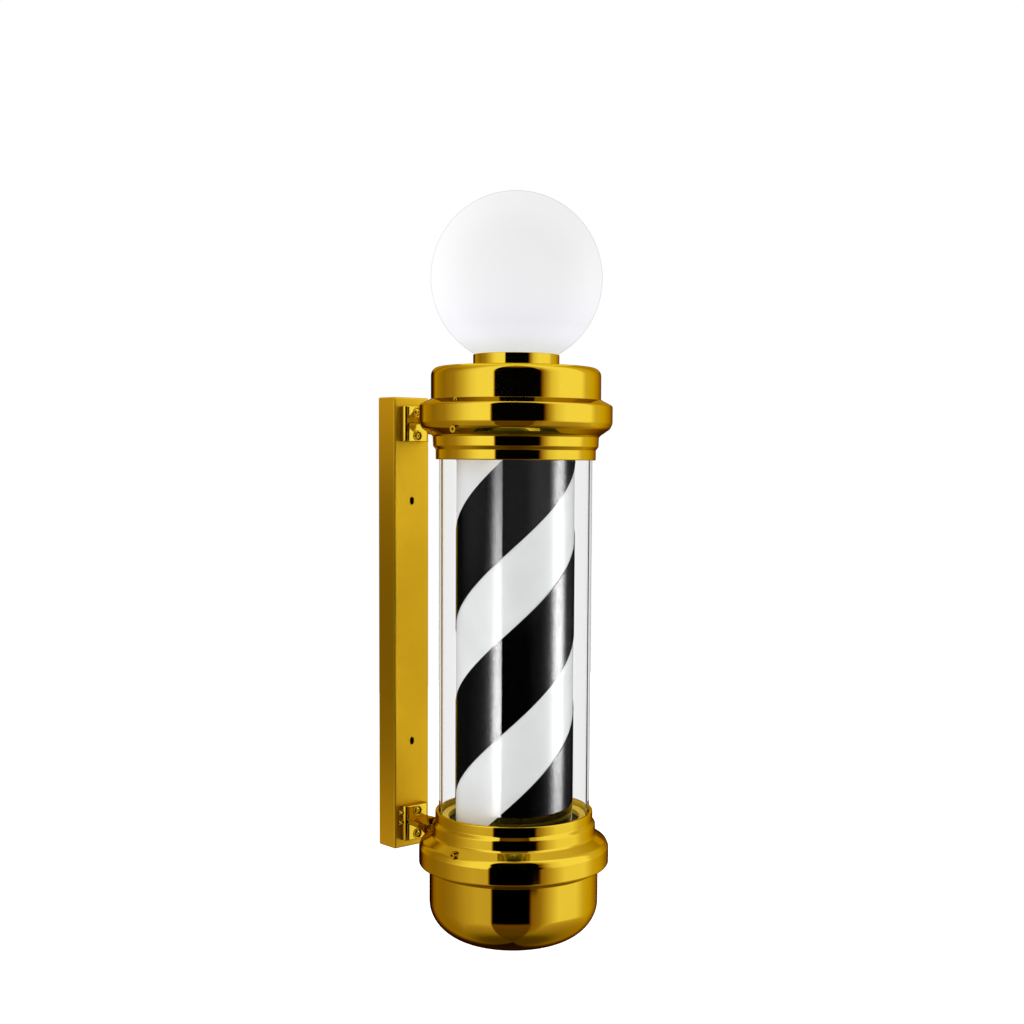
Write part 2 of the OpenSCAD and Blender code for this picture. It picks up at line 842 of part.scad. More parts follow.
// Bearing bush: turns with the upper hub on the fixed sleeve
module upper_bush() {
    r_in = sleeve_r + run_fit;
    color(black) upper_end() translate([0, 0, hub_at]) rotate_extrude() polygon([[r_in, -1.5],
        [bush_r + 3, -1.5], [bush_r + 3, 0], [bush_r, 0], [bush_r, hub_t], [r_in, hub_t]]);
}

// Lower hub with a boss that the set screw clamps to the motor shaft
module lower_hub() {
    color(steel) lower_end() difference() {
        union() {
            translate([0, 0, hub_at]) cylinder(h = hub_t, r = hub_r);
            translate([0, 0, hub_at - hub_boss_t]) cylinder(h = hub_boss_t + 1, r = hub_boss_r);
        }
        translate([0, 0, hub_at - hub_boss_t - 1])
            cylinder(h = hub_t + hub_boss_t + 2, r = shaft_r + fit);
        spoke(hub_at - hub_boss_t / 2, 0, hub_boss_r + 1, set_screw_r + fit);
        around(thirds) translate([(hub_r + bush_r) / 2, 0, hub_at - 1])
            cylinder(h = hub_t + 2, r = hub_hole_r);
    }
}

module hub_set_screw() {
    color(steel) lower_end()
        spoke(hub_at - hub_boss_t / 2, shaft_r, hub_boss_r + 0.5, set_screw_r);
}

module thrust_washer() {
    color(white) lower_end() translate([0, 0, drum_end]) difference() {
        cylinder(h = washer_t, r = motor_boss_r - 1);
        translate([0, 0, -1]) cylinder(h = washer_t + 2, r = shaft_r + fit);
    }
}

module motor_shaft() {
    low = hub_at - hub_boss_t + shaft_end;
    color(steel) lower_end() translate([0, 0, low])
        cylinder(h = deck_back + shaft_depth - low, r = shaft_r);
}

// Gear motor: gear case with a boss through the deck, motor can and two ears
module gear_motor() {
    boss_at = drum_end + washer_t + washer_gap;
    color(steel) lower_end() difference() {
        union() {
            translate([0, 0, boss_at]) cylinder(h = deck_back - boss_at + 1, r = motor_boss_r);
            translate([0, 0, deck_back]) cylinder(h = motor_h * 0.55, r = motor_r);
            translate([0, 0, deck_back]) cylinder(h = motor_h, r = motor_r - 5);
            translate([-ear_len / 2, -ear_w / 2, deck_back]) cube([ear_len, ear_w, ear_t]);
        }
        translate([0, 0, boss_at - 1])
            cylinder(h = deck_back + shaft_depth + 2 - boss_at, r = shaft_r + run_fit);
        for (x = [-ear_screw_x, ear_screw_x])
            translate([x, 0, deck_back - 1]) cylinder(h = ear_t + 2, r = m4_r + hole_clear);
    }
}

module motor_screws() {
    color(steel) lower_end()
        for (x = [-ear_screw_x, ear_screw_x]) deck_screw(x, 0, ear_t);
}

// Fixed sleeve that hangs the light bar and guides the upper bush
module lamp_sleeve() {
    color(steel) upper_end() difference() {
        rotate_extrude() polygon([[sleeve_r - sleeve_wall, sleeve_end], [sleeve_r, sleeve_end],
            [sleeve_r, deck_back], [sleeve_flange_r, deck_back],
            [sleeve_flange_r, deck_back + sleeve_flange_t],
            [sleeve_r - sleeve_wall, deck_back + sleeve_flange_t]]);
        around(thirds) translate([sleeve_screw_at, 0, deck_back - 1])
            cylinder(h = sleeve_flange_t + 2, r = m4_r + hole_clear);
    }
}

module sleeve_screws() {
    color(steel) upper_end() around(thirds) deck_screw(sleeve_screw_at, 0, sleeve_flange_t);
}

// Plug in the sleeve with a square hole for the light bar
module bar_holder() {
    top = deck_back + sleeve_flange_t;
    r = sleeve_r - sleeve_wall - fit;
    hole = bar_w + 2 * hole_clear;
    color(black) upper_end() difference() {
        union() {
            translate([0, 0, top - holder_plug_h]) cylinder(h = holder_plug_h + 1, r = r);
            translate([0, 0, top]) cylinder(h = sleeve_flange_t, r = sleeve_r - 1);
        }
        translate([-hole / 2, -hole / 2, 0]) cube([hole, hole, 2 * top]);
    }
}

module light_bar() {
    pin_z = bar_top - bar_pin_drop;
    color(steel) translate([0, pole_y, 0]) difference() {
        translate([-bar_w / 2, -bar_w / 2, -bar_low]) cube([bar_w, bar_w, bar_low + bar_top]);
        translate([-bar_w, 0, pin_z]) rotate([0, 90, 0])
            cylinder(h = 2 * bar_w, r = bar_pin_r + hole_clear);
    }
}

module bar_pin() {
    color(steel) translate([-bar_pin_len / 2, pole_y, bar_top - bar_pin_drop]) rotate([0, 90, 0])
        cylinder(h = bar_pin_len, r = bar_pin_r);
}

module light_strips() {
    len = bar_low + strip_top - strip_short;
    color(white) translate([0, pole_y, 0]) around([0, 90, 180, 270])
        translate([bar_w / 2, -strip_w / 2, strip_short - bar_low]) cube([strip_t, strip_w, len]);
}

// Box with a screw tab at each end, on the wall side of a deck
function box_screw_x(len) = len / 2 + box_screw_in;

module deck_box(len) {
    difference() {
        union() {
            translate([-len / 2, box_y, deck_back]) cube([len, box_d, box_h]);
            translate([-len / 2 - box_tab, box_y + box_d / 4, deck_back])
                cube([len + 2 * box_tab, box_d / 2, box_tab_t]);
        }
        for (x = [-box_screw_x(len), box_screw_x(len)])
            translate([x, box_y + box_d / 2, deck_back - 1])
                cylinder(h = box_tab_t + 2, r = m4_r + hole_clear);
    }
}

module deck_box_screws(len) {
    for (x = [-box_screw_x(len), box_screw_x(len)]) deck_screw(x, box_y + box_d / 2, box_tab_t);
}

module light_driver() {
    color(white) upper_end() deck_box(driver_len);
}

module driver_screws() {
    color(steel) upper_end() deck_box_screws(driver_len);
}

module terminal_block() {
    color(white) lower_end() deck_box(terminal_len);
}

module terminal_screws() {
    color(steel) lower_end() deck_box_screws(terminal_len);
}

module lead_quarter() {
    rotate_extrude(angle = 90) translate([lead_bend, 0]) circle(r = lead_r, $fn = 24);
}

// Half of the lead: from the box on a deck, through the arm, into the channel
module lead_half() {
    y0 = box_y + box_d / 2;
    z0 = tongue_mid - lead_bend;
    y2 = -pole_y + lead_turn_y;
    y1 = y2 - lead_bend;
    translate([0, y0, deck_back + box_h]) cylinder(h = z0 - deck_back - box_h + eps, r = lead_r, $fn = 24);
    translate([0, y0 + lead_bend, z0]) rotate([90, 0, -90]) lead_quarter();
    translate([0, y0 + lead_bend - eps, tongue_mid]) rotate([-90, 0, 0])
        cylinder(h = y1 - y0 - lead_bend + 2 * eps, r = lead_r, $fn = 24);
    translate([lead_bend, y1, tongue_mid]) rotate([0, 180, 0]) lead_quarter();
    translate([lead_bend, y2, z0]) rotate([-90, -90, 0]) lead_quarter();
    translate([2 * lead_bend, y2, -rim_z]) cylinder(h = z0 + rim_z + eps, r = lead_r, $fn = 24);
}

// Inner lead from the terminal block to the light driver
module lamp_lead() {
    color(black) {
        upper_end() lead_half();
        lower_end() lead_half();
    }
}

wall_channel();
channel_plug_top();
channel_plug_bottom();
inlet_grommet();
upper_block();
lower_block();
block_screws();
arm_pins();
upper_ring();
lower_ring();
clamp_screws();
upper_deck();
lower_deck();
upper_gasket();
lower_gasket();
outer_tube();
top_cover();
cover_screws();
bottom_bowl();
bowl_screws();
globe_collar();
collar_screws();
globe_gasket();
globe();
globe_screws();
lamp_bridge();
bridge_screws();
lamp_holder();
lamp_cap();
lamp_body();
lamp_dome();
drum();
stripe_film();
upper_hub();
lower_hub();
upper_bush();
thrust_washer();
motor_shaft();
hub_set_screw();
gear_motor();
motor_screws();
lamp_sleeve();
sleeve_screws();
bar_holder();
light_bar();
light_strips();
bar_pin();
light_driver();
driver_screws();
terminal_block();
terminal_screws();
lamp_lead();
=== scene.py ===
import math

import bmesh
import bpy
from mathutils import Matrix, Vector


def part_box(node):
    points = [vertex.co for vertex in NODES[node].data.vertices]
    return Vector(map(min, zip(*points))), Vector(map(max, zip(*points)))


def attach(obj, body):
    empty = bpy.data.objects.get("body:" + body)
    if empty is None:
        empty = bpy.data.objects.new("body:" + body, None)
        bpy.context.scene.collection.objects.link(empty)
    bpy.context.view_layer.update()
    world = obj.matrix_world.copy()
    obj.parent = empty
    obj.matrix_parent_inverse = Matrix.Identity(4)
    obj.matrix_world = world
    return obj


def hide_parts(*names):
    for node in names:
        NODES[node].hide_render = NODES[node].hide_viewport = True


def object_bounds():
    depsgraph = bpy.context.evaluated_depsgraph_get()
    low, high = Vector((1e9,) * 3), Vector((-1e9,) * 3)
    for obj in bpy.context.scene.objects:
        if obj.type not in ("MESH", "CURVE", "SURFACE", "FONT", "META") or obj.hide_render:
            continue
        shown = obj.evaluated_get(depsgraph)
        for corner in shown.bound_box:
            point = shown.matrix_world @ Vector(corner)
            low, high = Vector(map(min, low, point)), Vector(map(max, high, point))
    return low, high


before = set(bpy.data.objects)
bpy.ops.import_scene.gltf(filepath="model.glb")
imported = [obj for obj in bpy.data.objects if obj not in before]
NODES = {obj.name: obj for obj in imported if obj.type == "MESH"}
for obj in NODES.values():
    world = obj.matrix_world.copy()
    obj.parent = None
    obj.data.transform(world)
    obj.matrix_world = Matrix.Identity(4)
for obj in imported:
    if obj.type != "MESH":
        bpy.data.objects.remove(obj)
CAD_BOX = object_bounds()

ROOT, ROTOR = "housing", "rotor"


def span(node):
    """Lowest and highest corner of a CAD node at rest."""
    low, high = (Vector(corner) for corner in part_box(node))
    return low, high


AXIS = Vector((0.0, -0.236, 0.0))

# Camera: fitted to the photograph

EYE = Vector((-1.1597, -1.5608, 0.2095))
HEADING = math.radians(42.55)     # clockwise from +Y, seen from above
PITCH = math.radians(4.425)       # downwards
ROLL = math.radians(0.404)
FOCAL_PX, CENTRE_PX, PHOTO_PX = 1492.6, (550.3, 574.4), 1024


def make_camera():
    data = bpy.data.cameras.new("photo_camera")
    data.sensor_width = 36.0
    data.lens = FOCAL_PX * data.sensor_width / PHOTO_PX
    data.shift_x = (PHOTO_PX / 2 - CENTRE_PX[0]) / PHOTO_PX
    data.shift_y = (CENTRE_PX[1] - PHOTO_PX / 2) / PHOTO_PX
    camera = bpy.data.objects.new("photo_camera", data)
    turn = (Matrix.Rotation(-HEADING, 4, "Z") @ Matrix.Rotation(math.pi / 2 - PITCH, 4, "X")
            @ Matrix.Rotation(ROLL, 4, "Z"))
    camera.matrix_world = Matrix.Translation(EYE) @ turn
    bpy.context.scene.collection.objects.link(camera)
    bpy.context.scene.camera = camera


make_camera()

# Materials


class Nodes:
    """A short way to write node trees: each call makes a node and returns its output."""

    def __init__(self, tree):
        self.tree = tree
        tree.nodes.clear()

    def add(self, kind, inputs=(), out=0, **settings):
        node = self.tree.nodes.new(kind)
        for name, value in settings.items():
            setattr(node, name, value)
        for key, value in dict(inputs).items():
            if isinstance(value, bpy.types.NodeSocket):
                self.tree.links.new(value, node.inputs[key])
            else:
                node.inputs[key].default_value = value
        return node.outputs[out]

    def math(self, operation, a, b=0.0):
        return self.add("ShaderNodeMath", {0: a, 1: b}, operation=operation)

    def ramp(self, value, stops):
        """Stops are (place, colour), with a grey written as one number."""
        out = self.add("ShaderNodeValToRGB", {0: value})
        band = out.node.color_ramp
        for i, (place, colour) in enumerate(stops):
            stop = band.elements[i] if i < 2 else band.elements.new(place)
            stop.position = place
            stop.color = (*colour, 1) if isinstance(colour, tuple) else (colour, colour, colour, 1)
        return out

    def noise(self, where, scale, detail=3.0, rough=0.5):
        return self.add("ShaderNodeTexNoise",
                        {"Vector": where, "Scale": scale, "Detail": detail, "Roughness": rough})

    def place(self, stretch=(1, 1, 1)):
        """Object coordinates in metres, stretched along the axes."""
        at = self.add("ShaderNodeTexCoord", out=3)
        return self.add("ShaderNodeMapping", {"Vector": at, "Scale": stretch})

    def mix(self, share, a, b):
        return self.add("ShaderNodeMix", {0: share, 2: a, 3: b})

    def between(self, value, low, high):
        return self.add("ShaderNodeMapRange", {"Value": value, "To Min": low, "To Max": high})

    def tinted(self, share, a, b):
        """Colour a towards colour b."""
        return self.add("ShaderNodeMix", {0: share, 6: a, 7: b}, out=2, data_type="RGBA")

    def clouded(self, cloud, tint, low):
        """The tint, down to a share of it in the dark parts of a noise."""
        return self.ramp(cloud, [(0.3, tuple(c * low for c in tint)), (0.7, tint)])

    def parts(self, vector):
        """The x, y and z of a vector."""
        return self.add("ShaderNodeSeparateXYZ", {0: vector}).node.outputs

    def normal(self):
        return self.add("ShaderNodeNewGeometry", out=1)

    def edgewise(self):
        """0 where the surface faces the ray, and 1 at its outline."""
        return self.add("ShaderNodeLayerWeight", {"Blend": 0.5}, out=1)

    def light_path(self):
        return self.tree.nodes.new("ShaderNodeLightPath").outputs

    def bump(self, height, depth):
        """Bump whose height of 1 stands for depth metres."""
        return self.add("ShaderNodeBump", {"Height": height, "Distance": depth, "Strength": 1.0})

    def principled(self, **sockets):
        """Socket names are written with _ for a space."""
        inputs = {}
        for key, value in sockets.items():
            inputs[key.replace("_", " ")] = (*value, 1) if isinstance(value, tuple) else value
        return self.add("ShaderNodeBsdfPrincipled", inputs)

    def output(self, shader, kind="Material"):
        self.tree.links.new(shader, self.tree.nodes.new(f"ShaderNodeOutput{kind}").inputs[0])


def new_material(name):
    material = bpy.data.materials.new(name)
    material.use_nodes = True
    return material, Nodes(material.node_tree)


# Metals turn towards this colour at a glancing angle
EDGE_TINT = (0.90, 0.62, 0.12)
# Height of the plating's slow waves, in metres
WAVE = 0.00004
# Plating nearer than this to the axis and to the tube's middle is satin, in metres
SATIN_RADIUS, SATIN_HEIGHT = 0.0904, 0.2225
# Radius between the two faces of the tube's wall, in metres
TUBE_MID_WALL = 0.0885
# The painted shade along the channel's side faces: how far below the origin its middle is, and its
# reach, in metres
PAINTED_SHADE_BELOW, PAINTED_SHADE_REACH = 0.01, 0.29


def from_axis(n):
    """Distance from the pole axis, and height above or below the middle of the tube."""
    x, y, z = n.parts(n.add("ShaderNodeTexCoord", out=3))
    y = n.math("SUBTRACT", y, AXIS.y)
    out = n.math("SQRT", n.math("ADD", n.math("MULTIPLY", x, x), n.math("MULTIPLY", y, y)))
    return out, n.math("ABSOLUTE", z)


def plated(name, tint, satin):
    """Bright gold plating with slow waves and faint smudges, and satin gold inside the tube."""
    material, n = new_material(name)
    at = n.place()
    colour = n.clouded(n.noise(at, 14, 4), tint, 0.94)
    out, height = from_axis(n)
    inside = n.math("MULTIPLY", n.math("LESS_THAN", out, SATIN_RADIUS),
                    n.math("LESS_THAN", height, SATIN_HEIGHT))
    shine = n.between(n.noise(at, 38, 5, 0.6), 0.02, 0.07)
    n.output(n.principled(Base_Color=n.tinted(inside, colour, (*satin, 1)),
                          Metallic=n.math("SUBTRACT", 1.0, inside), Specular_Tint=EDGE_TINT,
                          Roughness=n.math("ADD", shine, n.math("MULTIPLY", inside, 0.3)),
                          Normal=n.bump(n.noise(at, 9.0, 1.0), WAVE)))
    return material


def channel_plating(name, tint, painted_light_end_tint, painted_shade_tints):
    """Satin gold with fine upright lines, painted shade along the middle of the side faces, and
    painted light towards the ends.
    """
    material, n = new_material(name)
    at = n.place()
    lines = n.noise(n.place((700, 700, 6)), 1.0, 4, 0.7)
    smudge = n.math("MULTIPLY", n.math("ADD", n.noise(at, 38, 5, 0.6), lines), 0.5)
    # Painted shade: the faces that look sideways turn to a darker tone along their middle
    sideways = n.math("ABSOLUTE", n.parts(n.normal())[0])
    off_middle = n.math("ABSOLUTE", n.math("ADD", n.parts(at)[2], PAINTED_SHADE_BELOW))
    along = n.math("MULTIPLY", off_middle, 1 / PAINTED_SHADE_REACH)
    painted_shade = n.ramp(along, [(0.0, 1.0), (0.25, 0.94), (0.55, 0.72), (0.8, 0.36), (1.0, 0.0)])
    share = n.math("MULTIPLY", painted_shade, n.ramp(sideways, [(0.3, 0.0), (0.8, 1.0)]))
    # Painted light: the colour turns lighter towards both ends, against the shade there
    flat = n.tinted(n.ramp(along, [(0.3, 0.0), (0.75, 1.0)]),
                    n.clouded(n.noise(at, 14, 4), tint, 0.95), (*painted_light_end_tint, 1))
    # The colour of the painted shade, with a little random variation
    low = n.ramp(n.noise(at, 9, 3), [(0.3, painted_shade_tints[0]), (0.7, painted_shade_tints[1])])
    height = n.math("ADD", n.noise(at, 9.0, 1.0), n.math("MULTIPLY", lines, 0.3))
    n.output(n.principled(Base_Color=n.tinted(share, flat, low), Metallic=1.0,
                          Specular_Tint=EDGE_TINT, Roughness=n.between(smudge, 0.44, 0.54),
                          Normal=n.bump(height, WAVE)))
    return material


def moulded(name, tint, polish, grain=0.00002, grain_scale=900, coat=0.0, metal=0.0, glow=0.0,
            gloss=0.5):
    """Plastic, rubber, paint or plain metal with a fine grain and a little variation."""
    material, n = new_material(name)
    at = n.place()
    n.output(n.principled(Base_Color=n.clouded(n.noise(at, 24, 4), tint, 0.9), Metallic=metal,
                          Roughness=n.between(n.noise(at, 60, 4), *polish), Coat_Weight=coat,
                          Specular_IOR_Level=gloss,
                          Emission_Color=(1.0, 1.0, 1.0), Emission_Strength=glow,
                          Normal=n.bump(n.noise(at, grain_scale, 2), grain)))
    return material


def acrylic(name):
    """Clear tube: what is inside shows straight through it, and a painted reflection draws thin
    grey lines along its outlines.
    """
    material, n = new_material(name)
    outside = n.math("GREATER_THAN", from_axis(n)[0], TUBE_MID_WALL)
    # Painted reflection: the outer wall turns grey towards its outline, with a darker line where it
    # is seen nearly edge-on
    painted_edge_lines = n.ramp(n.edgewise(), [(0.0, 0.945), (0.34, 0.945), (0.42, 0.90), (0.58, 0.90),
                                  (0.68, 0.90), (0.70, 0.78), (0.72, 0.78), (0.74, 0.90),
                                  (0.77, 0.90), (0.81, 0.60), (0.88, 0.45), (1.0, 0.42)])
    wall = n.tinted(outside, (0.945, 0.945, 0.947, 1), painted_edge_lines)
    glass = n.principled(Base_Color=wall, Transmission_Weight=1.0, IOR=1.02,
                         Roughness=n.between(n.noise(n.place((1, 1, 0.2)), 40, 4), 0.0, 0.004))
    clear = n.add("ShaderNodeBsdfTransparent", {"Color": (0.96, 0.97, 0.97, 1)})
    path = n.light_path()
    soft = n.math("MAXIMUM", path["Is Shadow Ray"], path["Is Diffuse Ray"])
    n.output(n.add("ShaderNodeMixShader", {0: soft, 1: glass, 2: clear}))
    return material


def opal(name):
    """Milky globe glass with a glow from the lamp, partly painted light: brighter at the neck where
    the cover shades it, painted shade in the middle, and a painted darker outline.
    """
    material, n = new_material(name)
    at = n.place()
    colour = n.ramp(n.noise(at, 7, 2), [(0.3, (0.42, 0.43, 0.44)), (0.7, (0.45, 0.455, 0.46))])
    # From the neck, which faces down, to the top. Painted light: the glow is brighter and cooler
    # towards the neck, where the cover below shades the globe
    upwards = n.math("ADD", n.math("MULTIPLY", n.parts(n.normal())[2], 0.5), 0.5)
    light = n.ramp(upwards, [(0.08, (0.85, 0.905, 0.997)), (0.15, (0.79, 0.81, 0.93)),
                             (0.22, (0.67, 0.66, 0.73)), (0.5, (0.688, 0.663, 0.652)),
                             (0.92, (0.65, 0.635, 0.62))])
    # Painted shade: base colour and glow darken at the outline
    rim = n.ramp(n.edgewise(), [(0.0, 1.0), (0.86, 1.0), (1.0, 0.4)])
    # Painted shade: the glow is weaker where the globe faces the ray, so its middle is darker than
    # its sides
    sides = n.ramp(n.edgewise(), [(0.0, 0.87), (0.15, 0.87), (0.45, 1.0), (0.86, 1.0), (1.0, 0.4)])
    n.output(n.principled(Base_Color=n.tinted(rim, (0.1, 0.1, 0.1, 1), colour),
                          Roughness=n.between(n.noise(at, 30, 3), 0.12, 0.2),
                          Specular_IOR_Level=0.0,
                          Emission_Color=n.tinted(sides, (0.07, 0.07, 0.07, 1), light),
                          Emission_Strength=0.6, Normal=n.bump(n.noise(at, 10, 1), 0.00005)))
    return material


MATERIALS = {
    "gold": plated("gold_plate", (0.93, 0.658, 0.048), satin=(0.95, 0.64, 0.05)),
    # The channel's tint, its painted lighter ends, and the two tones of its painted shade
    "channel": channel_plating("gold_channel", (0.84, 0.51, 0.02), painted_light_end_tint=(1.0, 0.64, 0.03),
                               painted_shade_tints=((0.40, 0.245, 0.008), (0.42, 0.26, 0.010))),
    "tube": acrylic("clear_acrylic"),
    "drum": moulded("drum_white", (0.66, 0.662, 0.665), (0.46, 0.52), 0.000004, 300, coat=0.6,
                    glow=0.1, gloss=1.0),
    "stripe": moulded("stripe_black", (0.001, 0.001, 0.001), (0.03, 0.05), 0.000002, 300, coat=0.6),
    "globe": opal("opal_glass"),
    "deck": moulded("deck_black", (0.006, 0.006, 0.006), (0.35, 0.5), gloss=0.1),
    "rubber": moulded("black_rubber", (0.012, 0.012, 0.012), (0.6, 0.8), 0.00005),
    "black": moulded("black_plastic", (0.02, 0.02, 0.02), (0.35, 0.5)),
    "white": moulded("white_plastic", (0.78, 0.78, 0.76), (0.3, 0.45)),
    "steel": moulded("zinc_steel", (0.62, 0.62, 0.64), (0.2, 0.4), 0.00001, 500, metal=1.0),
    "aluminium": moulded("aluminium", (0.72, 0.73, 0.75), (0.25, 0.45), 0.00002, 600, metal=1.0),
}

FINISH = {
    "gold": ["upper_ring", "lower_ring", "top_cover", "bottom_bowl", "globe_collar", "clamp_screws",
             "cover_screws", "bowl_screws", "upper_block", "lower_block", "block_screws"],
    "channel": ["wall_channel", "channel_plug_top", "channel_plug_bottom"],
    "tube": ["outer_tube"],
    "drum": ["drum"],
    "stripe": ["stripe_film"],
    "globe": ["globe", "lamp_dome"],
    "deck": ["upper_deck", "lower_deck"],
    "rubber": ["upper_gasket", "lower_gasket", "globe_gasket", "inlet_grommet", "lamp_lead"],
    "black": ["upper_bush", "bar_holder"],
    "white": ["lamp_body", "lamp_holder", "thrust_washer", "light_strips", "light_driver",
              "terminal_block"],
    "aluminium": ["upper_hub", "lower_hub", "light_bar"],
}

finish_of = {node: MATERIALS[key] for key, names in FINISH.items() for node in names}
for name, node in NODES.items():
    node.data.materials.clear()
    node.data.materials.append(finish_of.get(name, MATERIALS["steel"]))


# Pieces


def add_piece(name, mesh, material, body, replaced):
    """Puts the mesh in the scene, on a body and in a material slot, in place of CAD nodes."""
    piece = bpy.data.objects.new(name, mesh)
    mesh.materials.append(material)
    bpy.context.scene.collection.objects.link(piece)
    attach(piece, body)
    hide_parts(*replaced)


# Outlines of the turned pieces in millimetres: radius, distance outwards from the rim of the
# ring, and corner radius

RIM_Z = 0.208
TURNED_COLUMNS = 192
RING = [(90.3, 0, 0.4), (94, 0, 1.3), (94, 11.6, 1.5), (97.1, 15.6, 1.6), (97.5, 26.6, 0.9),
        (99.2, 28.6, 1.2), (110.6, 36.6, 8), (113.3, 43, 6), (113.3, 63.4, 3.6), (101, 69.7, 0.6),
        (101, 70, 0.1), (97.5, 70, 0), (97.5, 61, 0.5), (107.3, 58, 1), (107.3, 44.5, 1),
        (91.5, 40.5, 0.5), (91.5, 13.5, 0), (78, 13.5, 0.5), (78, 7, 1.2), (86.6, 6, 0.6),
        (86.6, 11, 0), (90.3, 11, 0)]
COVER = [(99.6, 70, 0), (99.6, 107.5, 10), (40, 107.5, 0.4), (40, 105.1, 0.4), (97.2, 105.1, 7.6),
         (97.2, 73, 0.3), (95, 73, 0), (95, 62, 0.3), (97.2, 62, 0.3), (97.2, 70, 0)]
COLLAR = [(41, 107.5, 0.4), (50.4, 107.5, 0.3), (50.4, 123.2, 0.8), (48, 121.3, 0.3),
          (48, 110.5, 0.3), (41, 110.5, 0.4)]

# Round corners: largest step in degrees, flat kept beside them in millimetres, largest share of
# the lines beside them, and the bend in radians under which a corner stays as it is
ROUND_STEP, ROUND_FLAT, ROUND_SHARE, STRAIGHT = 9.0, 0.3, 0.49, 0.02


def rounded(points):
    """Closed outline with round corners, and with short flats kept beside each of them."""
    out = []
    for i, (x, y, radius) in enumerate(points):
        at = Vector((x, y))
        back = Vector(points[i - 1][:2]) - at
        ahead = Vector(points[(i + 1) % len(points)][:2]) - at
        u, v = back.normalized(), ahead.normalized()
        angle = u.angle(v)
        if radius <= 0 or math.pi - angle < STRAIGHT:
            out.append(at)
            continue
        half = math.tan(angle / 2)
        cut = min(radius / half, ROUND_SHARE * back.length, ROUND_SHARE * ahead.length)
        radius = cut * half
        centre = at + (u + v).normalized() * radius / math.sin(angle / 2)
        first, last = at + u * cut - centre, at + v * cut - centre
        sweep = -first.angle_signed(last)
        steps = max(2, math.ceil(abs(math.degrees(sweep)) / ROUND_STEP - 0.01))
        if back.length > 2 * (cut + ROUND_FLAT):
            out.append(at + u * (cut + ROUND_FLAT))
        out += [centre + Matrix.Rotation(sweep * k / steps, 2) @ first for k in range(steps + 1)]
        if ahead.length > 2 * (cut + ROUND_FLAT):
            out.append(at + v * (cut + ROUND_FLAT))
    return out


def to_mesh(build, name):
    bmesh.ops.recalc_face_normals(build, faces=build.faces)
    mesh = bpy.data.meshes.new(name)
    build.to_mesh(mesh)
    build.free()
    return mesh


def lathe(outline, place, columns):
    """Closed solid from a (radius, height) outline in millimetres turned round Z, then placed."""
    build = bmesh.new()
    rings = []
    for radius, height in outline:
        if radius < 1e-6:
            rings.append([build.verts.new((0, 0, height / 1000))] * columns)
            continue
        turns = [2 * math.pi * i / columns for i in range(columns)]
        rings.append([build.verts.new((radius * math.cos(a) / 1000, radius * math.sin(a) / 1000,
                                       height / 1000)) for a in turns])
    for j, ring in enumerate(rings):
        below = rings[j - 1]
        for i in range(columns):
            k = (i + 1) % columns
            corners = list(dict.fromkeys((below[i], below[k], ring[k], ring[i])))
            if len(corners) > 2:
                build.faces.new(corners)
    build.transform(place)
    return to_mesh(build, "turned")


def turned(outline, side):
    """The same round the pole axis, outwards from the rim of the upper (1) or lower (-1) ring."""
    place = Matrix.Translation((AXIS.x, AXIS.y, side * RIM_Z)) @ Matrix.Diagonal((1, 1, side, 1))
    return lathe(outline, place, TURNED_COLUMNS)


def boolean(mesh, steps):
    """The mesh after each (operation, other mesh) step."""
    collection = bpy.context.scene.collection
    base = bpy.data.objects.new("base", mesh)
    collection.objects.link(base)
    others = []
    for operation, other_mesh in steps:
        other = bpy.data.objects.new("other", other_mesh)
        collection.objects.link(other)
        change = base.modifiers.new("change", "BOOLEAN")
        change.operation, change.solver, change.object = operation, "EXACT", other
        others.append(other)
    bpy.context.view_layer.update()
    evaluated = base.evaluated_get(bpy.context.evaluated_depsgraph_get())
    result = bpy.data.meshes.new_from_object(evaluated)
    for obj in [base, *others]:
        bpy.data.objects.remove(obj)
    return result


def rod(place, radius, length, sides=40):
    """Cylinder from the origin along Z, in millimetres, then placed."""
    build = bmesh.new()
    bmesh.ops.create_cone(build, cap_ends=True, segments=sides, radius1=radius / 1000,
                          radius2=radius / 1000, depth=length / 1000)
    build.transform(place @ Matrix.Translation((0, 0, length / 2000)))
    return to_mesh(build, "rod")


def spoke(angle, out, side, inner, outer, radius):
    """Cylinder that points outwards from the pole axis."""
    place = (Matrix.Translation((AXIS.x, AXIS.y, side * (RIM_Z + out / 1000)))
             @ Matrix.Rotation(math.radians(angle), 4, "Z")
             @ Matrix.Translation((inner / 1000, 0, 0)) @ Matrix.Rotation(math.pi / 2, 4, "Y"))
    return rod(place, radius, outer - inner)


def lofted(rings, name):
    """Closed solid through rings of points in millimetres, with flat ends."""
    build = bmesh.new()
    rows = [[build.verts.new(Vector(point) / 1000) for point in ring] for ring in rings]
    for low, high in zip(rows, rows[1:]):
        for i in range(len(low)):
            k = (i + 1) % len(low)
            build.faces.new((low[i], low[k], high[k], high[i]))
    build.faces.new(rows[0][::-1])
    build.faces.new(rows[-1])
    return to_mesh(build, name)


# The arm in millimetres: reach from the pole axis, half width, inner and outer face outwards from
# the rim, and corner radius, each as (at the tip, growth to the root, power of the growth)
ARM = [(189, -92, 1), (17, 39, 2), (45, -15.5, 2.2), (52, 3, 2), (1.4, 2.4, 1)]
ARM_STEPS = 24
# The tongue that ends the arm inside the clamp block, in millimetres
TONGUE_HALF_WIDTH, TONGUE_INNER, TONGUE_OUTER, TONGUE_CORNER = 10, 45.02, 51.98, 0.8
TONGUE_REACH, TONGUE_CHAMFER = (186, 196.6, 197), 0.4


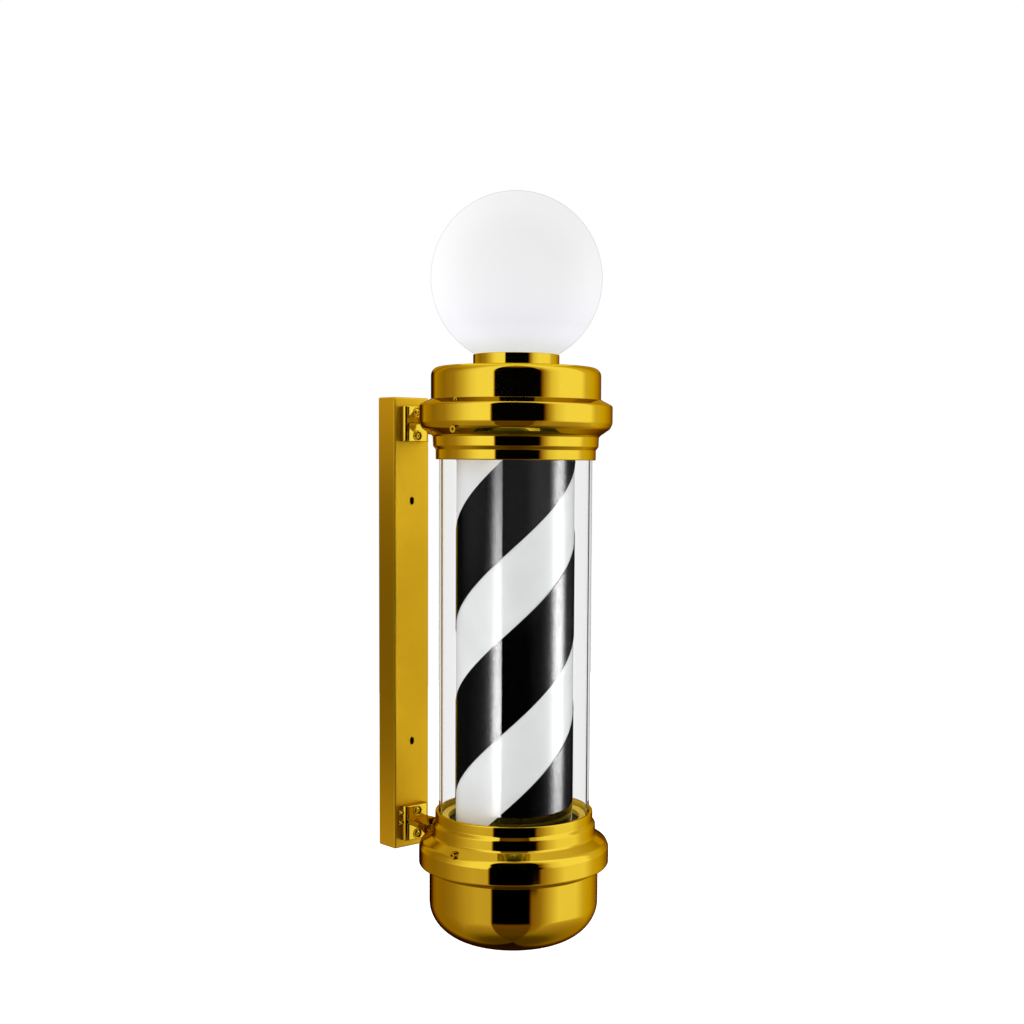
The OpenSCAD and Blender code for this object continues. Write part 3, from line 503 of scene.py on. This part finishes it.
def bar_section(reach, half, inner, outer, corner, side):
    """Rounded section of an arm that points to the wall, in millimetres."""
    outline = rounded([(-half, inner, corner), (half, inner, corner),
                       (half, outer, corner), (-half, outer, corner)])
    return [(AXIS.x * 1000 + p.x, AXIS.y * 1000 + reach, side * (RIM_Z * 1000 + p.y))
            for p in outline]


def arm_mesh(side):
    """Flared arm that widens and thickens towards the ring, with rounded edges."""
    rings = []
    for i in range(ARM_STEPS + 1):
        share = i / ARM_STEPS
        sizes = [tip + growth * share ** power for tip, growth, power in ARM]
        rings.append(bar_section(*sizes, side))
    return lofted(rings, "arm")


def tongue_mesh(side):
    """Straight end of the arm, with a chamfer round its end face."""
    rings = []
    for reach in TONGUE_REACH:
        trim = TONGUE_CHAMFER if reach == TONGUE_REACH[-1] else 0
        rings.append(bar_section(reach, TONGUE_HALF_WIDTH - trim, TONGUE_INNER + trim,
                                 TONGUE_OUTER - trim, TONGUE_CORNER, side))
    return lofted(rings, "tongue")


# What is cut out of the arm's root: a filled copy of the ring, a little smaller
CORE = [(0, -1), (89, -1), (92, 2), (92, 13), (95.5, 16), (96, 27), (98, 30), (109, 38), (112, 44),
        (112, 63), (99, 69), (0, 69)]

# Screw holes towards the axis, in millimetres: distance outwards from the rim, then the hole and
# the seat of the head as (inner end, outer end, radius)
CLAMP_HOLE = (34, (86.5, 118, 2.6), (104.3, 118.5, 4.3))
COVER_HOLE = (67, (92, 118, 2.1), (105.5, 118.5, 2.8))
SPIGOT_HOLE = (67, (92, 102, 2.1))
COLLAR_HOLE = (116.9, (44, 54, 2.1))
# Angles of the holes round the axis, in degrees
SIDE_ANGLES, BOWL_ANGLES, COLLAR_ANGLES = (-10, 190), (50, 130), (9, 89)


def drilled(hole, angles, side):
    """Boolean steps that cut the same hole at each angle."""
    out, *drills = hole
    return [("DIFFERENCE", spoke(angle, out, side, *drill)) for angle in angles for drill in drills]


def make_ring(name, side, cover_angles):
    """Ring with its arm, and with the holes for its clamp screws and for the screws of the end."""
    cuts = [("DIFFERENCE", turned(CORE, side)), ("UNION", tongue_mesh(side))]
    arm = boolean(arm_mesh(side), cuts)
    steps = [("UNION", arm), *drilled(CLAMP_HOLE, SIDE_ANGLES, side),
             *drilled(COVER_HOLE, cover_angles, side)]
    add_plated(name, boolean(turned(rounded(RING), side), steps))


# The bowl in millimetres: its radius, sheet, size of its curve, and where the curve starts
BOWL_RIM, BOWL_SHEET, BOWL_STEPS = 100.8, 2.4, 40
CURVE_WIDTH, CURVE_HEIGHT, CURVE_AT = 57, 47, 109
BOWL_SPIGOT = [(98.4, 73.2), (98.2, 73), (95, 73), (95, 62.3), (95.3, 62), (96.9, 62), (97.2, 62.3),
               (97.2, 70)]


def bowl_outline():
    """Rounded bowl: outside down to the middle, then inside back up to its spigot."""
    def curve(shrink):
        turns = [math.pi / 2 * i / BOWL_STEPS for i in range(BOWL_STEPS + 1)]
        return [(BOWL_RIM - CURVE_WIDTH + (CURVE_WIDTH - shrink) * math.cos(a),
                 CURVE_AT + (CURVE_HEIGHT - shrink) * math.sin(a)) for a in turns]
    foot = CURVE_AT + CURVE_HEIGHT
    return ([(BOWL_RIM, 70), (BOWL_RIM, 70.4)] + curve(0) + [(0, foot), (0, foot - BOWL_SHEET)]
            + curve(BOWL_SHEET)[::-1] + BOWL_SPIGOT)


# The stripe film, in metres: height of one turn, share of the drum that is black, start, radii
STRIPE_LEAD = 0.407
BLACK_SHARE = 0.547
STRIPE_PHASE = math.radians(117)
FILM_IN, FILM_OUT = 0.0698, 0.0703
FILM_STEPS, FILM_ROWS = 48, 180


def stripe_mesh():
    """Two bands of film wound round the drum, each a smooth closed strip."""
    bottom, top = span("stripe_film")
    height = top.z - bottom.z
    build = bmesh.new()
    for start in (0, math.pi):
        shells = []
        for radius in (FILM_OUT, FILM_IN):
            rows = []
            for j in range(FILM_ROWS + 1):
                z = bottom.z + height * j / FILM_ROWS
                turn = STRIPE_PHASE + start + 2 * math.pi * (z - bottom.z) / STRIPE_LEAD
                angles = [turn - math.pi * BLACK_SHARE * i / FILM_STEPS
                          for i in range(FILM_STEPS + 1)]
                rows.append([build.verts.new((AXIS.x + radius * math.cos(a),
                                              AXIS.y + radius * math.sin(a), z)) for a in angles])
            shells.append(rows)
        outer, inner = shells
        for j in range(FILM_ROWS):
            for i in range(FILM_STEPS):
                k, above = i + 1, j + 1
                build.faces.new((outer[j][k], outer[j][i], outer[above][i], outer[above][k]))
                build.faces.new((inner[j][i], inner[j][k], inner[above][k], inner[above][i]))
            for i, flip in ((0, False), (FILM_STEPS, True)):
                face = (outer[j][i], inner[j][i], inner[j + 1][i], outer[j + 1][i])
                build.faces.new(face[::-1] if flip else face)
        for i in range(FILM_STEPS):
            for j, flip in ((0, True), (FILM_ROWS, False)):
                face = (outer[j][i], inner[j][i], inner[j][i + 1], outer[j][i + 1])
                build.faces.new(face[::-1] if flip else face)
    return to_mesh(build, "stripes")


# Edges that bend more than this stay sharp
SHARP = math.radians(30)


def smooth(mesh):
    mesh.shade_smooth()
    mesh.set_sharp_from_angle(angle=SHARP)


def add_plated(name, mesh):
    smooth(mesh)
    add_piece(name + "_skin", mesh, MATERIALS["gold"], ROOT, [name])


def make_turned(name, outline, side, steps):
    add_plated(name, boolean(turned(outline, side), steps))


# Clamp blocks, in millimetres

BLOCK_W, BLOCK_H, BLOCK_BACK, BLOCK_FRONT = 38, 45, -35, -47
BLOCK_Z = {1: 252.5, -1: -259.5}
BLOCK_CORNER, BLOCK_EDGE, EDGE_STEPS = 6.5, 1.2, 5
TONGUE_Z = 256.5
# Half size, corner radius and depth of the slot for the tongue
SLOT_HALF_W, SLOT_HALF_H, SLOT_CORNER, SLOT_Y = 10.2, 3.7, 0.9, (-50, -38.8)
# Screws: distance from the block's middle, seat, shank, and the raised rim round the head
SCREW_UP, SCREW_SEAT, SHANK_R, SHANK_LENGTH = 15, -45, 2, 16
RIM_IN, RIM_OUT, RIM_LOW, RIM_HIGH, RIM_CORNER, RIM_COLUMNS = 5.3, 6.9, 1.2, 2.9, 0.7, 64
# Room for the head, and the hole for the shank as (start, length) before and after the rim
HEAD_ROOM, BORE_R, BORE, LAST_BORE = 6, 2.1, (-20, 16), (-12, 10)
# Button heads, with the angles of their dome in degrees, and their hexagon sockets
HEAD_R, HEAD_EDGE, HEAD_RISE, HEAD_ANGLES, HEAD_COLUMNS = 4.6, 0.5, 2.3, range(0, 66, 8), 48
SOCKET_R, SOCKET_AT, SOCKET_DEPTH, SOCKET_SIDES = 1.9, 1.1, 3, 6
# Cap screws in the side of the lower block
SIDE_SCREW_Y, SIDE_SCREW_Z = -38.6, (-246, -259)
CAP_R, CAP_LOW, CAP_HIGH, CAP_CORNER, CAP_COLUMNS = 3.1, -0.6, 4.6, 0.7, 32
CAP_SOCKET_R, CAP_SOCKET_AT = 1.5, 2.5


def to_front(x, y, z):
    """Place whose Z axis points out of the wall."""
    return Matrix.Translation((x / 1000, y / 1000, z / 1000)) @ Matrix.Rotation(math.pi / 2, 4, "X")


def raised(place, height):
    """The place moved along its own Z axis, in millimetres."""
    return place @ Matrix.Translation((0, 0, height / 1000))


def make_block(name, side):
    """Block with round edges, two sunk screw holes with raised rims, and the arm's slot."""
    middle = BLOCK_Z[side]
    rings = []
    last = 2 * EDGE_STEPS + 1
    for step in range(last + 1):
        lower = step <= EDGE_STEPS
        turn = math.pi / 2 * (step if lower else last - step) / EDGE_STEPS
        trim = BLOCK_EDGE * (1 - math.sin(turn))
        height = BLOCK_H / 2 - BLOCK_EDGE * (1 - math.cos(turn))
        half = BLOCK_W / 2 - trim
        plan = rounded([(-half, BLOCK_BACK, 0), (-half, BLOCK_FRONT + trim, BLOCK_CORNER),
                        (half, BLOCK_FRONT + trim, BLOCK_CORNER), (half, BLOCK_BACK, 0)])
        up = -height if lower else height
        rings.append([(p.x, p.y, middle + up) for p in plan])
    steps = []
    rim = rounded([(RIM_IN, RIM_LOW, 0), (RIM_OUT, RIM_LOW, 0), (RIM_OUT, RIM_HIGH, RIM_CORNER),
                   (RIM_IN, RIM_HIGH, RIM_CORNER)])
    for up in (-SCREW_UP, SCREW_UP):
        at = to_front(0, SCREW_SEAT, middle + up)
        steps.append(("DIFFERENCE", rod(at, RIM_IN, HEAD_ROOM)))
        steps.append(("DIFFERENCE", rod(raised(at, BORE[0]), BORE_R, BORE[1])))
        steps.append(("UNION", lathe(rim, at, RIM_COLUMNS)))
        steps.append(("DIFFERENCE", rod(raised(at, LAST_BORE[0]), BORE_R, LAST_BORE[1])))
    slot = rounded([(x * SLOT_HALF_W, z * SLOT_HALF_H, SLOT_CORNER)
                    for x, z in ((-1, -1), (1, -1), (1, 1), (-1, 1))])
    cut = [[(p.x, y, side * TONGUE_Z + p.y) for p in slot] for y in SLOT_Y]
    steps.append(("DIFFERENCE", lofted(cut, "slot")))
    add_plated(name, boolean(lofted(rings, "block"), steps))


def make_block_screws():
    """Four button-head screws, and two cap screws in the side of the lower block."""
    dome = [(HEAD_R * math.cos(a), HEAD_EDGE + HEAD_RISE * math.sin(a))
            for a in map(math.radians, HEAD_ANGLES)]
    button = [(0, -SHANK_LENGTH), (SHANK_R, -SHANK_LENGTH), (SHANK_R, 0), (HEAD_R, 0), *dome,
              (0, dome[-1][1])]
    cap = rounded([(0, CAP_LOW, 0), (CAP_R, CAP_LOW, 0), (CAP_R, CAP_HIGH, CAP_CORNER),
                   (0, CAP_HIGH, 0)])
    build = bmesh.new()

    def add_screw(outline, at, columns, socket_r, socket_at):
        socket = rod(raised(at, socket_at), socket_r, SOCKET_DEPTH, SOCKET_SIDES)
        build.from_mesh(boolean(lathe(outline, at, columns), [("DIFFERENCE", socket)]))

    for side in (1, -1):
        for up in (-SCREW_UP, SCREW_UP):
            at = to_front(0, SCREW_SEAT, BLOCK_Z[side] + up)
            add_screw(button, at, HEAD_COLUMNS, SOCKET_R, SOCKET_AT)
    for z in SIDE_SCREW_Z:
        at = (Matrix.Translation((-BLOCK_W / 2000, SIDE_SCREW_Y / 1000, z / 1000))
              @ Matrix.Rotation(-math.pi / 2, 4, "Y"))
        add_screw(cap, at, CAP_COLUMNS, CAP_SOCKET_R, CAP_SOCKET_AT)
    add_plated("block_screws", to_mesh(build, "screws"))


make_ring("upper_ring", 1, SIDE_ANGLES)
make_ring("lower_ring", -1, BOWL_ANGLES)
make_turned("top_cover", rounded(COVER), 1, drilled(SPIGOT_HOLE, SIDE_ANGLES, 1))
make_turned("bottom_bowl", bowl_outline(), -1, drilled(SPIGOT_HOLE, BOWL_ANGLES, -1))
make_turned("globe_collar", rounded(COLLAR), 1, drilled(COLLAR_HOLE, COLLAR_ANGLES, 1))

make_block("upper_block", 1)
make_block("lower_block", -1)
make_block_screws()

stripes = stripe_mesh()
smooth(stripes)
add_piece("stripes", stripes, MATERIALS["stripe"], ROTOR, ["stripe_film"])

# Studio

# Way from the pole to the camera, anticlockwise from +X as seen from above
CAMERA_SIDE = math.radians(-131.2)
# What the plating mirrors, as (degrees to the right of the camera, brightness), and the same for
# what lies lower
STUDIO = [(-180, 0.01), (-156, 0.02), (-148, 0.10), (-139, 0.50), (-130, 0.40), (-114, 0.28),
          (-92, 0.36), (-76, 0.62), (-62, 0.90), (-52, 1.0), (-30, 1.0), (-29, 0.0), (32, 0.0),
          (38, 0.35), (48, 0.80), (62, 1.0), (98, 1.0), (108, 0.66), (128, 0.60), (144, 0.44),
          (158, 0.24), (170, 0.05), (180, 0.01)]
LOW_STUDIO = [(-180, 0.005), (-156, 0.01), (-147, 0.10), (-139, 0.26), (-130, 0.30), (-110, 0.27),
              (-90, 0.32), (-70, 0.47), (-50, 0.58), (-31, 0.56), (-29, 0.0), (21, 0.0), (25, 0.22),
              (36, 0.30), (50, 0.60), (64, 0.88), (94, 0.88), (110, 0.62), (130, 0.54),
              (150, 0.30), (162, 0.10), (172, 0.02), (180, 0.005)]
# What the drum mirrors through the tube: black, with two narrow lights
TUBE_SIDE = [(-180, 0.067), (-176, 0.067), (-167, 0.0), (-100, 0.002), (-72, 0.008), (-61, 0.019),
             (-57, 0.035), (-52, 0.063), (-48, 0.14), (-44, 0.38), (-40, 0.74), (-36, 0.99),
             (-29, 1.0), (-26, 0.80), (-24.5, 0.0), (25, 0.0), (50, 0.007), (59, 0.017),
             (67, 0.047), (71.5, 0.10), (76.5, 0.29), (82, 0.65), (87, 0.93), (94, 0.88),
             (100, 0.76), (105, 0.50), (111, 0.15), (118, 0.027), (127, 0.01), (149, 0.001),
             (167, 0.001), (176, 0.067)]
TUBE_LIGHT = 15.0
# The plain light on everything that isn't mirror-like, a little stronger from the left
SOFT_SIDE = [(-180, 0.52), (-120, 0.86), (-70, 1.0), (-35, 0.62), (0, 0.33), (35, 0.50), (70, 0.72),
             (120, 0.62), (180, 0.52)]
SOFT_LIGHT = 1.8


def studio_level(n, round_about, up_down):
    """Brightness of the studio by direction."""
    ring = n.mix(up_down([(-15, 0.0), (-3, 1.0)]), round_about(LOW_STUDIO), round_about(STUDIO))
    # Above this height the dark card in front ends upright on the right
    edge = n.mix(up_down([(-16.6, 0.0), (-16.2, 1.0)]), 1.0, round_about([(30, 0.0), (34, 1.0)]))
    ring = n.math("MULTIPLY", ring, n.math("MAXIMUM", edge, round_about([(0, 1.0), (5, 0.0)])))
    # Less light comes from below, and the floor is dim
    cap = up_down([(-90, 0.07), (-74, 0.08), (-66, 0.11), (-54, 0.27), (-45, 0.34), (-35, 0.42),
                   (-26, 0.53), (-20, 1.0)])
    floor = n.math("MULTIPLY", up_down([(-74, 0.06), (-57, 0.09), (-25, 0.13), (-20, 0.0)]),
                   round_about([(-160, 0.2), (-145, 1.0), (145, 1.0), (160, 0.2)]))
    level = n.math("MAXIMUM", n.math("MINIMUM", ring, cap), floor)
    # Light from above, which starts higher over the card, and from behind
    card = round_about([(-31, 0.0), (-29, 1.0), (31, 1.0), (34, 0.0)])
    above = n.mix(card, up_down([(20, 0.0), (35, 0.32), (50, 0.52), (65, 0.62), (90, 0.66)]),
                  up_down([(55, 0.0), (64, 0.20), (80, 0.42), (90, 0.60)]))
    level = n.math("MAXIMUM", level, above)
    back = n.math("MULTIPLY", round_about([(-152, 1.0), (-142, 0.0), (142, 0.0), (152, 1.0)]),
                  up_down([(7, 0.0), (12, 0.5)]))
    return n.math("MAXIMUM", level, back)


def tube_level(n, round_about, up_down):
    """Brightness of what the drum mirrors, which fades upwards and downwards, with a faint haze."""
    fade = n.mix(round_about([(0, 0.0), (25, 1.0)]),
                 up_down([(-24, 0.0), (-20, 1.0), (-9, 1.0), (-4, 0.60), (0, 0.28)]),
                 up_down([(-24, 0.0), (-20, 0.5), (-13, 0.5), (-10, 0.8), (-8, 1.0), (-4, 0.9),
                          (0, 0.62)]))
    haze = n.math("MULTIPLY", up_down([(-26, 0.04), (-22, 0.0), (-7, 0.0), (-3, 0.032)]),
                  round_about([(-130, 0.0), (-90, 0.4), (20, 0.4), (42, 1.0), (62, 1.0),
                               (100, 0.05)]))
    return n.math("MAXIMUM", n.math("MULTIPLY", round_about(TUBE_SIDE), fade), haze)


def make_world():
    """White behind the object, plain light for what scatters it, and the studio for mirrors."""
    world = bpy.data.worlds.new("studio")
    bpy.context.scene.world = world
    world.use_nodes = True
    n = Nodes(world.node_tree)
    x, y, z = n.parts(n.add("ShaderNodeTexCoord", out=0))
    angle = n.math("SUBTRACT", n.math("ARCTAN2", y, x), CAMERA_SIDE)
    turn = n.math("FRACT", n.math("ADD", n.math("DIVIDE", angle, 2 * math.pi), 1.5))
    height = n.math("ADD", n.math("DIVIDE", n.math("ARCSINE", z), math.pi), 0.5)

    def round_about(stops):
        return n.ramp(turn, [((degrees + 180) / 360, level) for degrees, level in stops])

    def up_down(stops):
        return n.ramp(height, [((degrees + 90) / 180, level) for degrees, level in stops])

    def light(colour, strength=1.0):
        return n.add("ShaderNodeBackground", {0: colour, 1: strength})

    # Gold darkens towards brown, and a second reflection is dimmer
    path = n.light_path()
    again = n.math("GREATER_THAN", path["Glossy Depth"], 1.5)
    level = n.math("MULTIPLY", studio_level(n, round_about, up_down), n.between(again, 1.0, 0.4))
    green = n.math("SUBTRACT", n.between(again, 1.33, 1.0), up_down([(-62, 0.14), (-38, 0.0)]))
    warm = n.add("ShaderNodeCombineColor", {0: level, 1: n.math("POWER", level, green),
                                            2: n.math("POWER", level, 2.2)})

    # White straight behind the object, also where it shows through the tube
    mirrored = n.math("GREATER_THAN", path["Glossy Depth"], 0.5)
    scattered = n.math("GREATER_THAN", path["Diffuse Depth"], 0.5)
    through = path["Is Transmission Ray"]
    straight = n.math("SUBTRACT", 1.0, n.math("MAXIMUM", mirrored, scattered))
    seen = n.math("MAXIMUM", path["Is Camera Ray"], n.math("MULTIPLY", through, straight))
    from_drum = n.math("MULTIPLY", n.math("MULTIPLY", through, mirrored),
                       up_down([(6, 1.0), (10, 0.0)]))

    shader = n.add("ShaderNodeMixShader", {0: path["Is Glossy Ray"],
                                           1: light(round_about(SOFT_SIDE), SOFT_LIGHT),
                                           2: light(warm)})
    shader = n.add("ShaderNodeMixShader", {0: from_drum, 1: shader,
                                           2: light(tube_level(n, round_about, up_down),
                                                    TUBE_LIGHT)})
    n.output(n.add("ShaderNodeMixShader", {0: seen, 1: shader, 2: light((1, 1, 1, 1))}), "World")


make_world()

# Floor: height, half size and number of cells along each side

FLOOR_Z, FLOOR_HALF, FLOOR_CELLS = CAD_BOX[0].z - 0.9, 6.0, 8


def make_floor():
    build = bmesh.new()
    bmesh.ops.create_grid(build, x_segments=FLOOR_CELLS, y_segments=FLOOR_CELLS, size=FLOOR_HALF)
    mesh = bpy.data.meshes.new("floor")
    build.to_mesh(mesh)
    build.free()
    floor = bpy.data.objects.new("floor", mesh)
    floor.location = (0, 0, FLOOR_Z)
    bpy.context.scene.collection.objects.link(floor)
    material, n = new_material("pale_floor")
    n.output(n.principled(Base_Color=(0.9, 0.9, 0.9), Roughness=0.9,
                          Emission_Color=(1.0, 1.0, 1.0), Emission_Strength=0.35))
    mesh.materials.append(material)
    floor.visible_glossy = floor.visible_transmission = False


make_floor()

bpy.context.scene.view_settings.view_transform = "Standard"
